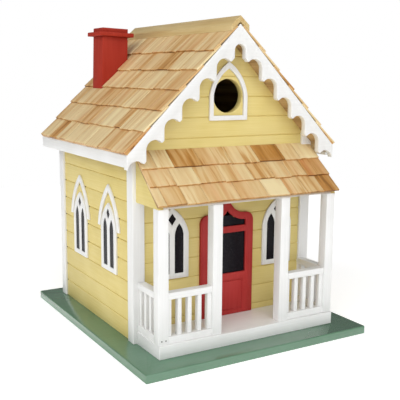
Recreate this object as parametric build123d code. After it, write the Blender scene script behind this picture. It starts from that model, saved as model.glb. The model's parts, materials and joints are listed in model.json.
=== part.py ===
from build123d import *

import os
from math import asin, atan2, ceil, cos, hypot, radians, sin, sqrt, tan

# Cottage birdhouse. Millimetres. +X runs to the viewer's right along the front, the porch faces -Y,
# +Z is up. The origin is at the middle of the base board's underside.

# --- box body
house_width = 202.0
house_length = 187.0
eave_z = 198.7
wall_thick = 7.0
post_proud = 2.0
post_cover = 3.0
siding_first = 18.0
siding_pitch = 18.9
siding_top_clear = 10.0
groove_width = 1.2
groove_depth = 1.2

# --- base board and porch deck
base_thick = 8.0
base_margin_side = 21.0
base_margin_front = 23.0
base_margin_rear = 17.0
bolt_spacing = 76.0
bolt_hole_r = 2.25
drain_hole_r = 3.0
drain_inset = 20.0
deck_inset = 3.5
deck_thick = 12.0
deck_nose = 1.5

# --- main roof
roof_pitch = 45.0
eave_overhang = 13.4
front_overhang = 18.0
rear_overhang = 15.0
panel_thick = 8.0
barge_thick = 6.0
barge_depth = 24.6
barge_tip_drop = 12.5
scallop_pitch = 25.0
scallop_r = 8.75
scallop_row_depth = 23.5
first_scallop_x = 16.3
cusp_round = 0.9
notch_r = 5.9
notch_drop = 17.9
fascia_thick = 4.0
fascia_drop = 10.7

# --- shingles
shingle_thick = 1.6
shingle_gap = 0.35
first_butt = 36.8
nominal_exposure = 25.0
course_lap = 8.0
butt_wander = 0.45
butt_step = 3.1
course_step = 2.3
starter_inset = 6.0
starter_setback = 0.5
cap_thick = 4.3
cap_half_width = 9.6

# --- shingle widths of each course, from the front to the rear, or from the left to the right
roof_boards = (
    (34, 37, 27, 24, 24, 25, 22, 27),
    (30, 25, 27, 28, 28, 28, 28, 26),
    (26, 25, 32, 31, 22, 32, 28, 24),
    (26, 28, 28, 34, 31, 27, 24, 22),
    (24, 24, 14, 34, 26, 24, 24, 26, 24),
    (28, 33, 30, 25, 28, 27, 20, 29),
)
porch_boards = (
    (15, 17, 29, 32, 32, 31, 19, 23),
    (26, 24, 27, 31, 24, 19, 20, 27),
    (8, 20, 21, 34, 31, 24, 21, 20, 19),
)

# --- chimney on the left slope
chimney_x = -48.7
chimney_width = 29.3
chimney_length = 26.0
chimney_setback = 24.3
chimney_rise = 2.8
chimney_lean = 1.7
collar_thick = 4.2
collar_proud = 4.8
chimney_cap_thick = 4.5
flashing_gap = 0.2

# --- entrance hole and its trim
hole_r = 16.0
hole_drop = 65.2
trim_side_gap = 0.8
trim_sill_gap = 2.2
trim_apex_gap = 15.0
trim_spring_rise = 0.7
trim_band = 4.2
trim_sill = 4.5
trim_apex_band = 6.1
trim_thick = 2.5

# --- gothic windows and hood moulds
window_half_width = 17.7
window_bottom_z = 65.0
window_spring_z = 107.0
window_apex_z = 132.4
window_thick = 2.0
front_window_shift = 0.9
side_share_front = 0.291
side_share_between = 0.373
pane_half_width = 4.7
pane_offset = 7.5
pane_bottom_rise = 4.8
pane_rise = 10.4
diamond_half_width = 4.2
diamond_half_height = 5.8
diamond_z = 121.8
glass_thick = 1.0
glass_lap = 2.4
glass_lap_apex = 3.36
glass_clear = 0.25
hood_outer = 25.25
hood_inner = 19.85
hood_foot_z = 107.0
hood_apex_z = 150.5
hood_inner_apex_z = 143.8
hood_thick = 2.0
arch_fullness = 0.72

# --- front door
door_half_width = 30.0
door_thick = 3.2
door_shoulder_z = 114.0
door_shoulder_r = 8.0
door_shoulder_flat = 2.0
door_cove_r = 18.3
door_tip_half = 4.0
door_apex_z = 135.0
door_stile = 9.0
door_head_rail = 7.0
door_upper_z = 109.4
door_rail = 6.4
door_lower_z = 62.3
incised_half_width = 18.3
incised_bottom_rise = 4.5
incised_top_z = 55.2
incised_width = 1.2
incised_depth = 0.8

# --- porch
porch_reach = 43.5
porch_post_side = 10.0
header_front = 0.4
inner_post_x = 37.5
rail_depth = 8.0
rail_height = 6.0
bottom_rail_height = 6.5
rail_top_z = 66.5
baluster_width = 4.0
baluster_depth = 5.0
baluster_gap = 6.0
porch_pitch = 41.5
porch_roof_clear = 1.41
porch_eave_overhang = 2.06
porch_side_overhang = 0.5
porch_panel_thick = 2.0
porch_board_setback = 2.5
porch_lap = 7.0
porch_shingle_overhang = 1.0
cheek_thick = 5.0

# --- rear clean-out door, hinges and turn button
cleanout_width = 86.0
cleanout_height = 90.0
cleanout_z = 36.0
hinge_side_gap = 0.6
free_side_gap = 1.0
edge_gap = 0.8
stop_gap = 0.3
stop_width = 8.0
stop_depth = 6.0
stop_lap = 4.0
hinge_height = 16.0
hinge_leaf = 12.0
hinge_leaf_thick = 1.0
hinge_inset = 16.0
knuckle_r = 1.8
knuckle_gap = 0.3
hinge_pin_r = 0.85
pin_clear = 0.05
screw_r = 0.9
screw_head_r = 1.9
screw_head = 0.9
screw_length = 6.0
screw_spacing = 9.0
screw_clear = 0.02
pilot_skin = 2.0
button_length = 34.0
button_width = 8.0
button_thick = 4.0
button_lift = 0.3
button_offset = 9.0
button_screw_r = 1.5
button_head_r = 3.2
button_head = 1.6
knob_r = 5.0
knob_neck_r = 2.5
knob_neck = 3.0
knob_length = 9.0
knob_dowel_r = 2.0
knob_dowel = 6.0
knob_inset = 19.0
knob_chamfer = 1.2
vent_r = 4.0
vent_x = 16.0
vent_drop = 63.7

# --- allowances for cutting blocks, and the distance at which two points are one
cut_through = 0.5
overcut = 40.0
touch = 0.05

# --- places worked out from the sizes above
base_width = house_width + 2 * base_margin_side
porch_length = base_margin_front + deck_nose + porch_reach
base_length = porch_length + house_length + base_margin_rear
base_top = base_thick
deck_top = base_top + deck_thick
house_front_y = porch_length - base_length / 2
house_rear_y = house_front_y + house_length
half_house = house_width / 2
post_side = wall_thick + post_proud + post_cover
wall_x = half_house - post_proud
wall_front_y = house_front_y + post_proud
wall_rear_y = house_rear_y - post_proud
inner_post_edge = half_house - post_side
pitch = radians(roof_pitch)
roof_apex_z = eave_z + half_house * tan(pitch)
roof_half_width = half_house + eave_overhang
roof_front_y = house_front_y - front_overhang
roof_rear_y = house_rear_y + rear_overhang
notch_top_z = roof_apex_z - notch_drop
last_butt = roof_half_width / cos(pitch)
course_count = 1 + round((last_butt - first_butt) / nominal_exposure)
course_exposure = (last_butt - first_butt) / (course_count - 1)
chimney_rear_y = roof_rear_y - chimney_setback
chimney_front_y = chimney_rear_y - chimney_length
chimney_top_z = roof_apex_z + chimney_rise
shaft_top_z = chimney_top_z - chimney_cap_thick - collar_thick
hole_z = roof_apex_z - hole_drop
trim_half_width = hole_r + trim_side_gap + trim_band
trim_bottom_z = hole_z - hole_r - trim_sill_gap - trim_sill
trim_spring_z = hole_z + trim_spring_rise
trim_apex_z = trim_spring_z + hole_r + trim_apex_gap
vent_z = roof_apex_z - vent_drop
front_window_x = (door_half_width + inner_post_edge) / 2 + front_window_shift
side_wall_front = house_front_y + post_side
side_wall_rear = house_rear_y - post_side
side_free = side_wall_rear - side_wall_front - 4 * hood_outer
first_window_y = side_wall_front + side_share_front * side_free + hood_outer
second_window_y = first_window_y + side_share_between * side_free + 2 * hood_outer
deck_half = half_house - deck_inset
porch_post_y = house_front_y - porch_reach
deck_front_y = porch_post_y - deck_nose
outer_post_x = deck_half - porch_post_side / 2
porch_angle = radians(porch_pitch)
barge_back_run = wall_front_y - roof_front_y - barge_thick
barge_low_z = roof_apex_z - barge_depth - deck_half * tan(pitch)
porch_top_z = barge_low_z - porch_roof_clear - 2 * shingle_thick / cos(porch_angle)
porch_wall_z = porch_top_z + barge_back_run * tan(porch_angle)
porch_slope = (wall_front_y - porch_post_y + porch_eave_overhang) / cos(porch_angle)
porch_half_width = deck_half + porch_side_overhang
door_cove_z = door_shoulder_z + door_shoulder_r + door_cove_r
door_cove_x = door_half_width - door_shoulder_r - door_shoulder_flat
cleanout_half = cleanout_width / 2
cleanout_mid_z = cleanout_z + cleanout_height / 2
hinge_x = -cleanout_half + hinge_side_gap / 2
hinge_y = wall_rear_y + knuckle_r
hinge_levels = (cleanout_z + hinge_inset, cleanout_z + cleanout_height - hinge_inset)
button_x = cleanout_half + button_offset
button_y = wall_rear_y + button_lift
knob_x = cleanout_half - knob_inset
shingle_groups = ("upper", "middle", "lower")
porch_exposure = porch_slope / len(porch_boards)


def roof_top(x):
    """Height of the roof boards' upper face over a place at distance x from the middle."""
    return roof_apex_z - abs(x) * tan(pitch)


def roof_under(x):
    """Height of the roof boards' lower face."""
    return roof_top(x) - panel_thick / cos(pitch)


def porch_under(y):
    """Height of the porch roof board's lower face at depth y."""
    rise = (y - wall_front_y) * tan(porch_angle)
    return porch_wall_z + rise - porch_panel_thick / cos(porch_angle)


def porch_post_top():
    """Height of the porch posts, a little below the roof board at their front faces."""
    return porch_under(porch_post_y) - header_front


def block(x0, x1, y0, y1, z0, z1):
    """A box between two corners."""
    middle = Pos((x0 + x1) / 2, (y0 + y1) / 2, (z0 + z1) / 2)
    return middle * Box(x1 - x0, y1 - y0, z1 - z0)


def plate_xz(outline, y0, y1):
    """An outline drawn in X and Z, made solid from y0 to y1."""
    plane = Plane((0, y1, 0), x_dir=(1, 0, 0), z_dir=(0, -1, 0))
    return extrude(plane * outline, amount=y1 - y0)


def plate_yz(outline, x0, x1):
    """An outline drawn in Y and Z, made solid from x0 to x1."""
    plane = Plane((x0, 0, 0), x_dir=(0, 1, 0), z_dir=(1, 0, 0))
    return extrude(plane * outline, amount=x1 - x0)


def polygon(*points):
    """A face with straight sides through the given points."""
    return make_face(Polyline(*points, close=True))


def mirrored(shape):
    """The same piece on the other side of the house."""
    return mirror(shape, about=Plane.YZ)


def rod(radius, length, place, direction):
    """A round bar that starts at a place and runs along a direction."""
    plane = Plane(place, z_dir=direction)
    return extrude(plane * Circle(radius), amount=length)


def arch_curve(half_width, spring_z, apex_z):
    """The two arcs of a pointed arch, from the right springing over the apex to the left.

    An arc of full bow leaves its springing upright. The arch's own bow is a share of that.
    """
    rise = apex_z - spring_z
    chord = hypot(half_width, rise)
    bow = arch_fullness * chord / 2 * tan(atan2(half_width, rise) / 2)
    x = half_width / 2 + bow * rise / chord
    z = spring_z + rise / 2 + bow * half_width / chord
    right = ThreePointArc((half_width, spring_z), (x, z), (0, apex_z))
    left = ThreePointArc((0, apex_z), (-x, z), (-half_width, spring_z))
    return right, left


def gothic(half_width, bottom_z, spring_z, apex_z):
    """A window outline: straight sides on a flat sill, closed by a pointed arch."""
    right, left = arch_curve(half_width, spring_z, apex_z)
    sides = Polyline(
        (-half_width, spring_z),
        (-half_width, bottom_z),
        (half_width, bottom_z),
        (half_width, spring_z),
    )
    return make_face([right, left, sides])


def groove_heights(top_z):
    """The heights of the siding joints that leave some wood below a given height."""
    first = base_top + siding_first
    count = ceil((top_z - siding_top_clear - first) / siding_pitch)
    return [first + k * siding_pitch for k in range(count)]


def groove_profile(face, depth_sign, z):
    """The V of one siding joint, open at the face and closed inside the board."""
    inside = face + depth_sign * groove_depth
    outside = face - depth_sign * cut_through
    mouth = groove_width / 2 * (groove_depth + cut_through) / groove_depth
    return polygon((outside, z + mouth), (inside, z), (outside, z - mouth))


def grooves_along_x(face_y, depth_sign, x0, x1, top_z):
    """Siding joints across a wall that faces along Y."""
    cuts = []
    for z in groove_heights(top_z):
        cuts.append(plate_yz(groove_profile(face_y, depth_sign, z), x0, x1))
    return cuts


def grooves_along_y(face_x, depth_sign, y0, y1, top_z):
    """Siding joints across a wall that faces along X."""
    cuts = []
    for z in groove_heights(top_z):
        cuts.append(plate_xz(groove_profile(face_x, depth_sign, z), y0, y1))
    return cuts


def base_board():
    """The board under everything, drilled for a post flange and for drainage."""
    board = block(
        -base_width / 2, base_width / 2, -base_length / 2, base_length / 2, 0, base_top
    )
    middle_y = (house_front_y + house_rear_y) / 2
    for x in (-bolt_spacing / 2, bolt_spacing / 2):
        for y in (middle_y - bolt_spacing / 2, middle_y + bolt_spacing / 2):
            board -= rod(bolt_hole_r, base_thick, (x, y, 0), (0, 0, 1))
    drain_x = wall_x - wall_thick - drain_inset
    drain_front = wall_front_y + wall_thick + drain_inset
    drain_rear = wall_rear_y - wall_thick - drain_inset
    for x in (-drain_x, drain_x):
        for y in (drain_front, drain_rear):
            board -= rod(drain_hole_r, base_thick, (x, y, 0), (0, 0, 1))
    return board


def porch_deck():
    """The raised porch floor, fitted against the front wall and the corner posts."""
    deck = block(-deck_half, deck_half, deck_front_y, wall_front_y, base_top, deck_top)
    for side in (-1, 1):
        x0, x1 = sorted((side * inner_post_edge, side * half_house))
        deck -= block(x0, x1, house_front_y, wall_front_y, base_top, deck_top)
    return deck


def gable_outline():
    """A gable wall between the corner posts, up to the underside of the roof."""
    edge = inner_post_edge
    return polygon(
        (-edge, base_top),
        (edge, base_top),
        (edge, roof_under(edge)),
        (0, roof_under(0)),
        (-edge, roof_under(edge)),
    )


def front_wall():
    """The front gable wall with siding joints and the entrance hole."""
    wall = plate_xz(gable_outline(), wall_front_y, wall_front_y + wall_thick)
    edge = inner_post_edge
    wall -= grooves_along_x(wall_front_y, 1, -edge, edge, roof_under(0))
    return wall - rod(hole_r, wall_thick, (0, wall_front_y, hole_z), (0, 1, 0))


def rear_wall():
    """The rear gable wall with the clean-out opening and its pilot holes."""
    wall = plate_xz(gable_outline(), wall_rear_y - wall_thick, wall_rear_y)
    edge = inner_post_edge
    wall -= grooves_along_x(wall_rear_y, -1, -edge, edge, roof_under(0))
    wall -= block(
        -cleanout_half,
        cleanout_half,
        wall_rear_y - wall_thick,
        wall_rear_y,
        cleanout_z,
        cleanout_z + cleanout_height,
    )
    for x in (-vent_x, vent_x):
        wall -= rod(vent_r, wall_thick, (x, wall_rear_y, vent_z), (0, -1, 0))
    for place in hinge_screw_places(-1):
        wall -= rod(screw_r + screw_clear, screw_length, place, (0, -1, 0))
    hole = (button_x, wall_rear_y, cleanout_mid_z)
    return wall - rod(button_screw_r + screw_clear, button_pilot(), hole, (0, -1, 0))


def button_pilot():
    """How far the turn button's screw goes into the wall."""
    return wall_thick - pilot_skin


def right_wall():
    """A side wall between the corner posts, bevelled to the roof."""
    x0 = wall_x - wall_thick
    outline = polygon(
        (x0, base_top),
        (wall_x, base_top),
        (wall_x, roof_under(wall_x)),
        (x0, roof_under(x0)),
    )
    wall = plate_xz(outline, side_wall_front, side_wall_rear)
    top = roof_under(wall_x)
    return wall - grooves_along_y(wall_x, -1, side_wall_front, side_wall_rear, top)


def corner_post(y0):
    """A right-hand corner post, bevelled to the roof."""
    outline = polygon(
        (inner_post_edge, base_top),
        (half_house, base_top),
        (half_house, roof_under(half_house)),
        (inner_post_edge, roof_under(inner_post_edge)),
    )
    return plate_xz(outline, y0, y0 + post_side)


def roof_panel_right():
    """A roof board, mitred at the ridge and plumb cut behind the fascia."""
    edge = roof_half_width - fascia_thick
    outline = polygon(
        (0, roof_top(0)),
        (edge, roof_top(edge)),
        (edge, roof_under(edge)),
        (0, roof_under(0)),
    )
    return plate_xz(outline, roof_front_y + barge_thick, roof_rear_y)


def eave_fascia_right():
    """The strip along the eave that covers the roof board's lower end."""
    inner = roof_half_width - fascia_thick
    bottom = roof_top(roof_half_width) - fascia_drop
    outline = polygon(
        (inner, bottom),
        (roof_half_width, bottom),
        (roof_half_width, roof_top(roof_half_width)),
        (inner, roof_top(inner)),
    )
    return plate_xz(outline, roof_front_y + barge_thick, roof_rear_y)


def bargeboard():
    """The scalloped board on the front verge, one piece cut from a sheet."""
    low = roof_apex_z - barge_depth
    tip_z = roof_top(roof_half_width) - barge_tip_drop
    half = [
        (roof_half_width, roof_top(roof_half_width)),
        (roof_half_width, tip_z),
        ((low - tip_z) / tan(pitch), tip_z),
        (0, low),
    ]
    other = [(-x, z) for x, z in reversed(half[:-1])]
    board = polygon((0, roof_apex_z), *half, *other)
    board -= round_headed(0, notch_top_z, notch_r)
    step = scallop_pitch * cos(pitch)
    count = ceil((roof_half_width - first_scallop_x - scallop_r) / step)
    for k in range(count):
        x = first_scallop_x + k * step
        top = roof_apex_z - scallop_row_depth - x * tan(pitch) + scallop_r
        board -= round_headed(x, top, scallop_r)
        board -= round_headed(-x, top, scallop_r)
    cusps = [v for v in board.vertices() if abs(low - abs(v.X) * tan(pitch) - v.Y) < touch]
    board = fillet(cusps, cusp_round)
    return plate_xz(board, roof_front_y, roof_front_y + barge_thick)


def round_headed(x, top_z, radius):
    """An upright slot with a round head and no foot."""
    middle = top_z - radius
    slot = Pos(x, middle) * Circle(radius)
    return slot + Pos(x, middle - radius) * Rectangle(2 * radius, 2 * radius)


def slope_plane(name):
    """The upper face of a roof board: X runs down the slope, Y along it, Z out of it."""
    if name == "porch":
        down = (0, -cos(porch_angle), -sin(porch_angle))
        out = (0, -sin(porch_angle), cos(porch_angle))
        return Plane((0, wall_front_y, porch_wall_z), x_dir=down, z_dir=out)
    down = (cos(pitch), 0, -sin(pitch))
    out = (sin(pitch), 0, cos(pitch))
    return Plane((0, 0, roof_apex_z), x_dir=down, z_dir=out)


def tilt(exposure):
    """How far a shingle leans off the board, so that each course lies flat on the one below."""
    return asin(shingle_thick / exposure)


def on_slope(plane, outline, y0, y1):
    """An outline drawn down the slope and out of it, made solid from y0 to y1 along it."""
    start = plane.to_local_coords(plane.origin)
    section = Plane((start.X, y0, start.Z), x_dir=(1, 0, 0), z_dir=(0, -1, 0))
    return plane * extrude(section * outline, amount=y0 - y1)


def leaning_board(head, length, thick, angle):
    """The section of a flat board whose head rests on the slope and whose butt is lifted."""
    along = (cos(angle), sin(angle))
    up = (-sin(angle), cos(angle))
    foot = (head + length * along[0], length * along[1])
    return polygon(
        (head, 0),
        foot,
        (foot[0] + thick * up[0], foot[1] + thick * up[1]),
        (head + thick * up[0], thick * up[1]),
    )


def course(name, number, widths, y0, y1, head, exposure, lap):
    """One row of separate shingles, with narrow gaps and slightly uneven butts."""
    plane = slope_plane(name)
    angle = tilt(exposure)
    fit = (y1 - y0) / sum(widths)
    row = []
    y = y0
    for k, width in enumerate(widths):
        wander = butt_wander * sin(butt_step * k + course_step * number)
        outline = leaning_board(head, exposure + lap + wander, shingle_thick, angle)
        near = y + (shingle_gap / 2 if k > 0 else 0)
        y += width * fit
        far = y - (shingle_gap / 2 if k < len(widths) - 1 else 0)
        row.append(on_slope(plane, outline, near, far))
    return row


def course_head(number):
    """How far down the slope a roof course starts, counted from 1 at the ridge."""
    butt = last_butt - (course_count - number) * course_exposure
    return butt - course_exposure - course_lap


def roof_course(side, number):
    """A course of the main roof. The left slope is laid out on its own, then mirrored."""
    widths = roof_boards[(number - 1) % len(roof_boards)]
    if side == "right":
        widths = widths[::-1]
    ends = (roof_front_y, roof_rear_y)
    head = course_head(number)
    row = course("roof", number, widths, *ends, head, course_exposure, course_lap)
    if side == "right":
        return row
    row = [mirrored(shingle) for shingle in row]
    return cut_pieces(row, chimney_block(flashing_gap))


def cut_pieces(row, tool):
    """A row with a tool cut out of it, as separate solids."""
    pieces = []
    for shingle in row:
        rest = shingle - tool
        pieces += rest.solids()
    return pieces


def porch_course(number):
    """A course of the porch roof, cut where it meets the wall and the corner posts."""
    widths = porch_boards[number - 1]
    head = (number - 1) * porch_exposure - porch_lap
    reach = porch_half_width + porch_shingle_overhang
    row = course("porch", number, widths, -reach, reach, head, porch_exposure, porch_lap)
    return cut_pieces(row, house_front())


def house_front():
    """The space of the front wall and front posts, which the porch roof stops against."""
    top = roof_apex_z
    edge = half_house + overcut
    wall = block(-edge, edge, wall_front_y, wall_front_y + overcut, base_top, top)
    for side in (-1, 1):
        x0, x1 = sorted((side * inner_post_edge, side * edge))
        wall += block(x0, x1, house_front_y, wall_front_y + cut_through, base_top, top)
    return wall


def starter(head, butt, exposure):
    """The section of the wedge that holds the lowest course at its lean."""
    lean = tan(tilt(exposure))
    near = head + starter_inset
    return polygon(
        (near, 0),
        (butt, 0),
        (butt, (butt - head) * lean),
        (near, starter_inset * lean),
    )


def starter_strips():
    """The wedge strips under the lowest course of each slope."""
    head = course_head(course_count)
    butt = last_butt - starter_setback
    outline = starter(head, butt, course_exposure)
    right = on_slope(slope_plane("roof"), outline, roof_front_y, roof_rear_y)
    porch_head = porch_slope - porch_exposure - porch_lap
    outline = starter(porch_head, porch_slope - porch_board_setback, porch_exposure)
    porch = on_slope(slope_plane("porch"), outline, -porch_half_width, porch_half_width)
    return [right, mirrored(right), porch]


def ridge_cap_right():
    """A ridge board on the first course, mitred at the ridge and plumb along its lower edge."""
    head = course_head(1) - course_exposure
    angle = tilt(course_exposure)
    length = cap_half_width / cos(pitch) - head + overcut
    outline = leaning_board(head, length, cap_thick, angle)
    board = on_slope(slope_plane("roof"), outline, roof_front_y, roof_rear_y)
    low = roof_apex_z - overcut
    high = roof_apex_z + overcut
    return board & block(0, cap_half_width, roof_front_y, roof_rear_y, low, high)


def chimney_slab(grow, z0, z1):
    """A slab with the chimney's plan, grown on all sides, which leans a little toward the ridge."""
    slab = block(
        chimney_x - chimney_width / 2 - grow,
        chimney_x + chimney_width / 2 + grow,
        chimney_front_y - grow,
        chimney_rear_y + grow,
        z0,
        z1,
    )
    foot = Axis((chimney_x, 0, roof_top(chimney_x)), (0, 1, 0))
    return slab.rotate(foot, chimney_lean)


def chimney_block(grow):
    """The chimney's outline as a tall block that reaches down through the roof board."""
    return chimney_slab(grow, roof_under(chimney_width - chimney_x), shaft_top_z)


def chimney_shaft():
    """The square shaft, cut along the roof slope at its foot."""
    eave = -roof_half_width
    below = polygon((0, roof_apex_z), (eave, roof_top(eave)), (eave, 0), (0, 0))
    return chimney_block(0) - plate_xz(below, roof_front_y, roof_rear_y)


def chimney_collar():
    """The wide slab that crowns the shaft."""
    return chimney_slab(collar_proud, shaft_top_z, shaft_top_z + collar_thick)


def chimney_cap():
    """The block on the collar, as wide as the shaft."""
    return chimney_slab(0, shaft_top_z + collar_thick, chimney_top_z)


def entrance_trim():
    """The pointed frame around the entrance hole."""
    outer = gothic(trim_half_width, trim_bottom_z, trim_spring_z, trim_apex_z)
    inner = gothic(
        trim_half_width - trim_band,
        trim_bottom_z + trim_sill,
        trim_spring_z,
        trim_apex_z - trim_apex_band,
    )
    return plate_xz(outer - inner, wall_front_y - trim_thick, wall_front_y)


def window_lights():
    """The three openings of a window: two lancets and a diamond."""
    bottom = window_bottom_z + pane_bottom_rise
    lancet = gothic(pane_half_width, bottom, window_spring_z, window_spring_z + pane_rise)
    diamond = polygon(
        (0, diamond_z + diamond_half_height),
        (diamond_half_width, diamond_z),
        (0, diamond_z - diamond_half_height),
        (-diamond_half_width, diamond_z),
    )
    return [Pos(-pane_offset, 0) * lancet, Pos(pane_offset, 0) * lancet, diamond]


def glass_outline(shrink):
    """The glass sheet behind the lights, or the pocket that holds it."""
    return gothic(
        window_half_width - glass_lap - shrink,
        window_bottom_z + glass_lap + shrink,
        window_spring_z,
        window_apex_z - glass_lap_apex - shrink,
    )


def window_frame():
    """A window frame facing -Y with its back on the plane y = 0."""
    outline = gothic(window_half_width, window_bottom_z, window_spring_z, window_apex_z)
    frame = plate_xz(outline - window_lights(), -window_thick, 0)
    return frame - plate_xz(glass_outline(0), -glass_thick, 0)


def window_glass():
    """The dark glass of one window, in the pocket of its frame."""
    return plate_xz(glass_outline(glass_clear), -glass_thick, 0)


def window_hood():
    """A pointed hood mould over a side window, open at its feet."""
    low = hood_foot_z - overcut
    outer = gothic(hood_outer, low, hood_foot_z, hood_apex_z)
    inner = gothic(hood_inner, low, hood_foot_z, hood_inner_apex_z)
    legs = Pos(0, hood_foot_z - overcut / 2) * Rectangle(4 * hood_outer, overcut)
    return plate_xz(outer - inner - legs, -hood_thick, 0)


def on_front(piece):
    """Copies of a piece at both front windows."""
    return [Pos(x, wall_front_y, 0) * piece for x in (-front_window_x, front_window_x)]


def on_side(piece, side):
    """Copies of a piece at both windows of a side wall."""
    turn = Rotation(0, 0, 90 * side)
    places = (first_window_y, second_window_y)
    return [Pos(side * wall_x, y, 0) * turn * piece for y in places]


def door_outline(inset):
    """Right half of the door's ogee head, from the shoulder to the tip, moved in by an inset."""
    radius = door_cove_r + inset
    tip_x = max(door_tip_half - inset, 0)
    start = (door_cove_x, door_cove_z - radius)
    end = (tip_x, door_cove_z - sqrt(radius**2 - (door_cove_x - tip_x) ** 2))
    turn = atan2(door_cove_x - end[0], door_cove_z - end[1]) / 2
    middle = (door_cove_x - radius * sin(turn), door_cove_z - radius * cos(turn))
    return start, middle, end


def door_board_outline():
    """The door's outer outline, with rounded shoulders and a bracket-shaped head."""
    start, middle, end = door_outline(0)
    w = door_half_width
    r = door_shoulder_r
    bend = r * (1 - cos(radians(45)))
    top = door_shoulder_z + r
    edges = [Line((-w, deck_top), (w, deck_top))]
    for side in (-1, 1):
        edges += [
            Line((side * w, deck_top), (side * w, door_shoulder_z)),
            ThreePointArc(
                (side * w, door_shoulder_z),
                (side * (w - bend), top - bend),
                (side * (w - r), top),
            ),
            Line((side * (w - r), top), (side * start[0], top)),
            ThreePointArc(
                (side * start[0], start[1]),
                (side * middle[0], middle[1]),
                (side * end[0], end[1]),
            ),
            Line((side * end[0], end[1]), (0, door_apex_z)),
        ]
    return make_face(edges)


def door_upper_light(shrink):
    """The shaped upper light, which follows the head of the door."""
    start, middle, end = door_outline(door_head_rail)
    w = door_half_width - door_stile
    z0 = door_upper_z - shrink
    edges = [Line((-w, z0), (w, z0))]
    for side in (-1, 1):
        edges += [
            Line((side * w, z0), (side * w, start[1])),
            Line((side * w, start[1]), (side * start[0], start[1])),
            ThreePointArc(
                (side * start[0], start[1]),
                (side * middle[0], middle[1]),
                (side * end[0], end[1]),
            ),
        ]
    return make_face(edges)


def door_glass_outline(shrink):
    """The sheet of glass behind both lights of the door."""
    lap = glass_lap - shrink
    w = door_half_width - door_stile + lap
    z0 = door_lower_z - lap
    z1 = door_cove_z - door_cove_r - door_head_rail + lap
    return Pos(0, (z0 + z1) / 2) * Rectangle(2 * w, z1 - z0) + door_peak(lap)


def door_peak(lap):
    """The part of the door's glass that fills the point of the upper light."""
    start, _, end = door_outline(door_head_rail)
    return polygon(
        (-start[0] / 2, start[1]),
        (start[0] / 2, start[1]),
        (0, end[1] + lap),
    )


def front_door():
    """The red door: one routed board with two lights and an incised panel."""
    light_w = 2 * (door_half_width - door_stile)
    light_h = door_upper_z - door_rail - door_lower_z
    lower = Pos(0, door_lower_z + light_h / 2) * Rectangle(light_w, light_h)
    outline = door_board_outline() - door_upper_light(0) - lower
    board = plate_xz(outline, wall_front_y - door_thick, wall_front_y)
    board -= plate_xz(door_glass_outline(0), wall_front_y - glass_thick, wall_front_y)
    bottom = deck_top + incised_bottom_rise
    height = incised_top_z - bottom
    place = Pos(0, bottom + height / 2)
    width = 2 * incised_half_width
    ring = Rectangle(width, height)
    ring -= Rectangle(width - 2 * incised_width, height - 2 * incised_width)
    face = wall_front_y - door_thick
    return board - plate_xz(place * ring, face, face + incised_depth)


def door_glass():
    """The door's dark glass, in its pocket."""
    outline = door_glass_outline(glass_clear)
    return plate_xz(outline, wall_front_y - glass_thick, wall_front_y)


def porch_post(x):
    """A square porch post."""
    half = porch_post_side / 2
    y = porch_post_y
    return block(x - half, x + half, y, y + porch_post_side, deck_top, porch_post_top())


def baluster_places(start, end):
    """Middles of the balusters between two posts; the first and last stand against them."""
    span = end - start - baluster_width
    count = round(span / (baluster_width + baluster_gap))
    return [start + baluster_width / 2 + span * k / count for k in range(count + 1)]


def railing(start, end):
    """A railing along X between two posts, its middle on the plane y = 0."""
    deep = rail_depth / 2
    half = baluster_width / 2
    low = deck_top + bottom_rail_height
    high = rail_top_z - rail_height
    pieces = [
        block(start, end, -deep, deep, deck_top, low),
        block(start, end, -deep, deep, high, rail_top_z),
    ]
    for x in baluster_places(start, end):
        pieces.append(
            block(x - half, x + half, -baluster_depth / 2, baluster_depth / 2, low, high)
        )
    return pieces


def front_railing_right():
    """The railing between the right-hand porch posts."""
    half = porch_post_side / 2
    rail = railing(inner_post_x + half, outer_post_x - half)
    return [Pos(0, porch_post_y + half, 0) * piece for piece in rail]


def side_railing_right():
    """The railing from the outer porch post back to the house."""
    rail = railing(porch_post_y + porch_post_side, house_front_y)
    turn = Rotation(0, 0, 90)
    return [Pos(outer_post_x, 0, 0) * turn * piece for piece in rail]


def porch_roof_panel():
    """The thin board under the porch shingles."""
    length = porch_slope - porch_board_setback
    outline = polygon(
        (0, 0),
        (length, 0),
        (length, -porch_panel_thick),
        (-porch_panel_thick, -porch_panel_thick),
        (-porch_panel_thick, 0),
    )
    panel = on_slope(slope_plane("porch"), outline, -porch_half_width, porch_half_width)
    return panel - house_front()


def porch_header():
    """The bevelled strip on the porch posts that carries the roof board."""
    y0 = porch_post_y
    y1 = porch_post_y + porch_post_side
    outline = polygon(
        (y0, porch_post_top()),
        (y1, porch_post_top()),
        (y1, porch_under(y1)),
        (y0, porch_under(y0)),
    )
    inner = deck_half - cheek_thick
    return plate_yz(outline, -inner, inner)


def porch_cheek_right():
    """The three-cornered board that closes the end of the porch roof."""
    y0 = porch_post_y
    y1 = house_front_y
    outline = polygon(
        (y0, porch_post_top()),
        (y1, porch_post_top()),
        (y1, porch_under(y1)),
        (y0, porch_under(y0)),
    )
    return plate_yz(outline, deck_half - cheek_thick, deck_half)


def cleanout_door():
    """The rear door board, with siding joints, pilot holes and the knob's hole."""
    y0 = wall_rear_y - wall_thick + stop_gap
    x0 = -cleanout_half + hinge_side_gap
    x1 = cleanout_half - free_side_gap
    top = cleanout_z + cleanout_height - edge_gap
    door = block(x0, x1, y0, wall_rear_y, cleanout_z + edge_gap, top)
    door -= grooves_along_x(wall_rear_y, -1, x0, x1, roof_under(0))
    for place in hinge_screw_places(1):
        door -= rod(screw_r + screw_clear, screw_length, place, (0, -1, 0))
    hole = (knob_x, wall_rear_y, cleanout_mid_z)
    return door - rod(knob_dowel_r + screw_clear, knob_dowel, hole, (0, -1, 0))


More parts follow.
